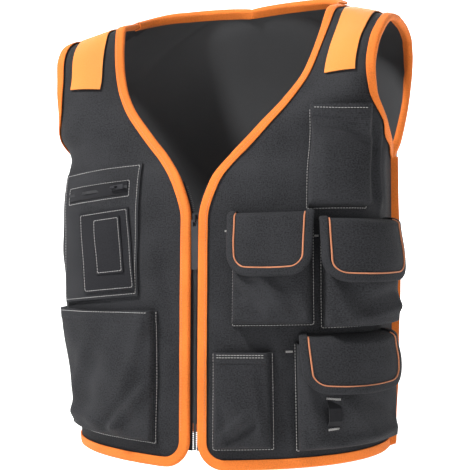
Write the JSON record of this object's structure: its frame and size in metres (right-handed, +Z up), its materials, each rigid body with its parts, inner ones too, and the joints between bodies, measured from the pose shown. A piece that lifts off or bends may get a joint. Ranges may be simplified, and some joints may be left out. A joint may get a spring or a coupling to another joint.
{
  "type": "utility work vest",
  "caption": "Sleeveless work vest with a front zip, bound edges, coloured shoulder bands and pockets with and without flaps.",
  "frame": {"origin": "midway between the two shoulder tops, at the height of the shoulder seams, where the wearer's shoulders carry the vest", "axes": "+Z up, -Y out of the vest's front, +X towards the wearer's left side"},
  "size_m": [0.4545, 0.2859, 0.5999],
  "materials": {
    "charcoal_cloth": "closely woven matt cloth",
    "lining_cloth": "smooth matt cloth",
    "black_webbing": "ribbed webbing",
    "orange_tape": "ribbed binding tape",
    "pale_orange_band": "smooth bright band",
    "zip_cloth": "woven zip tape",
    "zip_teeth": "moulded",
    "dark_metal": "satin dark paint",
    "pull_grip": "moulded, soft sheen"
  },
  "bodies": {
    "root": {"front_panel_left": "charcoal_cloth", "front_panel_right": "charcoal_cloth", "back_panel": "lining_cloth", "front_binding_left": "orange_tape", "front_binding_right": "orange_tape", "armhole_binding_left": "orange_tape", "armhole_binding_right": "orange_tape", "neck_binding": "orange_tape", "hem_binding": "orange_tape", "side_band_left": "orange_tape", "side_band_right": "orange_tape", "shoulder_band_left": "pale_orange_band", "shoulder_band_right": "pale_orange_band", "zip_tape_left": "zip_cloth", "zip_tape_right": "zip_cloth", "zip_chain": "zip_teeth", "zip_slider": "dark_metal", "chest_pocket": "charcoal_cloth", "inner_flap_pocket": "charcoal_cloth", "inner_flap": "charcoal_cloth", "outer_flap_pocket": "charcoal_cloth", "outer_flap": "charcoal_cloth", "lower_flap_pocket": "charcoal_cloth", "lower_flap": "charcoal_cloth", "plier_pocket": "charcoal_cloth", "map_pocket": "charcoal_cloth", "patch_pocket": "charcoal_cloth", "tool_sleeve": "charcoal_cloth", "card_pocket": "charcoal_cloth", "tool_loop": "black_webbing", "small_zip_tape": "zip_cloth", "small_zip_chain": "zip_teeth", "small_zip_slider": "dark_metal"},
    "main_pull": {"zip_pull": "pull_grip"},
    "pocket_pull": {"small_zip_pull": "dark_metal"}
  },
  "joints": [
    {"name": "zip_pull_hinge", "type": "hinge", "parent": "root", "child": "main_pull", "pos_m": [0, -0.13771, -0.2654], "axis": [-1, 0, 0], "range_deg": [0, 170]},
    {"name": "pocket_pull_hinge", "type": "hinge", "parent": "root", "child": "pocket_pull", "pos_m": [-0.10454, -0.14121, -0.22381], "axis": [0.082, -0.136, -0.9873], "range_deg": [0, 170]}
  ]
}
